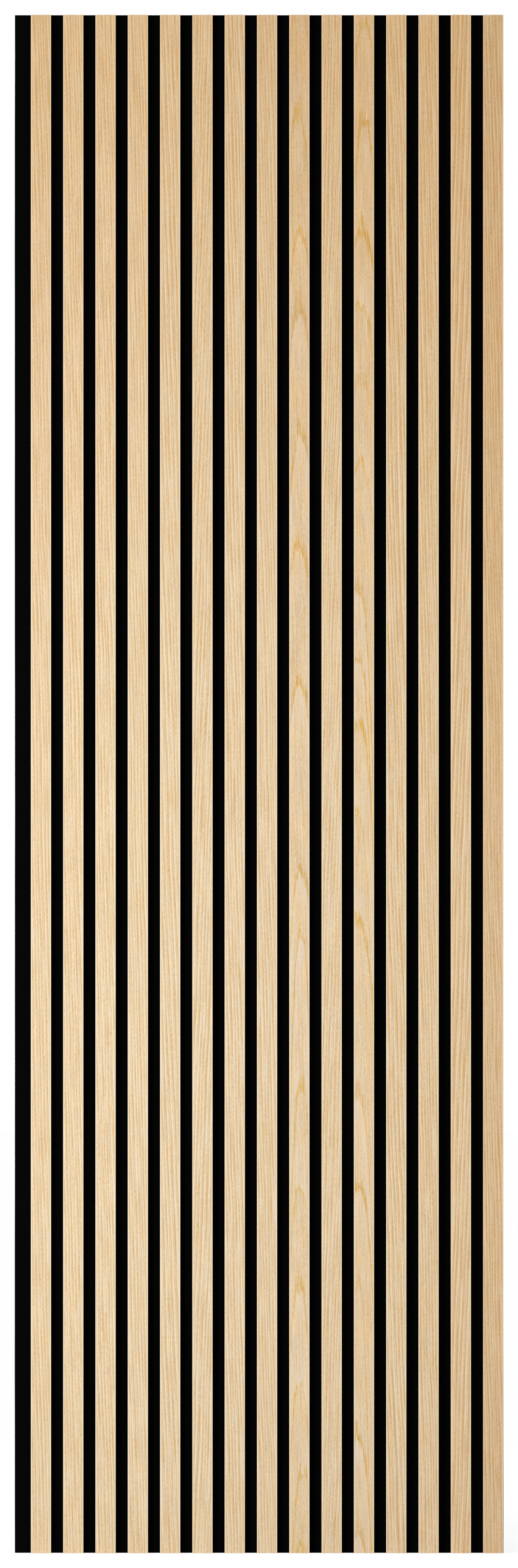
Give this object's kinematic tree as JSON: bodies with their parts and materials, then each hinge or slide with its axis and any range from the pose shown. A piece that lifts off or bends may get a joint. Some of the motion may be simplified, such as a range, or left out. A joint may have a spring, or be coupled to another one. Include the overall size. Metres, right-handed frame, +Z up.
{
  "type": "slatted acoustic wall panel",
  "caption": "Tall wall panel of narrow oak-faced slats, evenly spaced and stapled to a sheet of black felt that soaks up sound between them.",
  "frame": {"origin": "centre of the felt's back face, the face that lies on the wall", "axes": "+X to the viewer's right, +Y into the wall, +Z up along the slats; the slats face -Y"},
  "size_m": [0.605, 0.021, 1.905],
  "materials": {
    "oak_veneer": "pale oak veneer under a matt clear lacquer",
    "black_mdf": "fibreboard dyed black, sawn edges",
    "felt": "black needled polyester felt",
    "staple_steel": "zinc-plated staple wire"
  },
  "bodies": {
    "root": {"felt_backing": "felt", "slat_core_01": "black_mdf", "slat_core_02": "black_mdf", "slat_core_03": "black_mdf", "slat_core_04": "black_mdf", "slat_core_05": "black_mdf", "slat_core_06": "black_mdf", "slat_core_07": "black_mdf", "slat_core_08": "black_mdf", "slat_core_09": "black_mdf", "slat_core_10": "black_mdf", "slat_core_11": "black_mdf", "slat_core_12": "black_mdf", "slat_core_13": "black_mdf", "slat_core_14": "black_mdf", "slat_core_15": "black_mdf", "slat_veneer_01": "oak_veneer", "slat_veneer_02": "oak_veneer", "slat_veneer_03": "oak_veneer", "slat_veneer_04": "oak_veneer", "slat_veneer_05": "oak_veneer", "slat_veneer_06": "oak_veneer", "slat_veneer_07": "oak_veneer", "slat_veneer_08": "oak_veneer", "slat_veneer_09": "oak_veneer", "slat_veneer_10": "oak_veneer", "slat_veneer_11": "oak_veneer", "slat_veneer_12": "oak_veneer", "slat_veneer_13": "oak_veneer", "slat_veneer_14": "oak_veneer", "slat_veneer_15": "oak_veneer", "staples": "staple_steel"}
  },
  "joints": []
}
